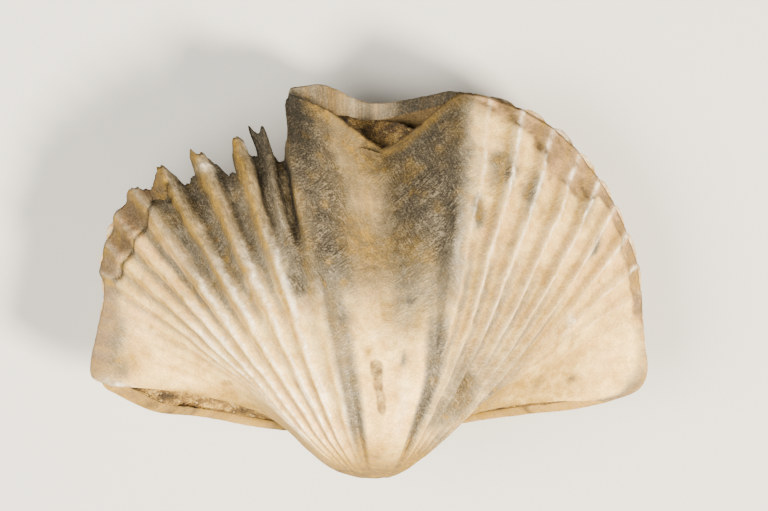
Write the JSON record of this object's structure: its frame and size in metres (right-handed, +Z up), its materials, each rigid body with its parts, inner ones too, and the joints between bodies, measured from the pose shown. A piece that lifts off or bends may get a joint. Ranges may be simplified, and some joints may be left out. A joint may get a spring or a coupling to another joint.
{
  "type": "fossil brachiopod shell",
  "caption": "Fossil lamp shell with ribbed upper and lower valves closed on hardened sediment, wide straight hinge, median trough and a broken front edge; lies flat.",
  "frame": {"origin": "under the middle of the shell's bounding box, on the surface it lies on", "axes": "+X along the hinge line, to the right in the picture; +Y from the beak to the front edge; +Z up, out of the upper valve"},
  "size_m": [0.0456, 0.032, 0.0212],
  "materials": {
    "upper_shell": "cream fossil shell, ochre stained, satin with pearly worn ribs and grey granular worn patches",
    "lower_shell": "cream and beige fossil shell, satin, stained with sediment",
    "sediment": "matt ochre-brown hardened mud, granular"
  },
  "bodies": {
    "root": {"pedicle_valve": "upper_shell", "brachial_valve": "lower_shell", "sediment_fill": "sediment"}
  },
  "joints": []
}
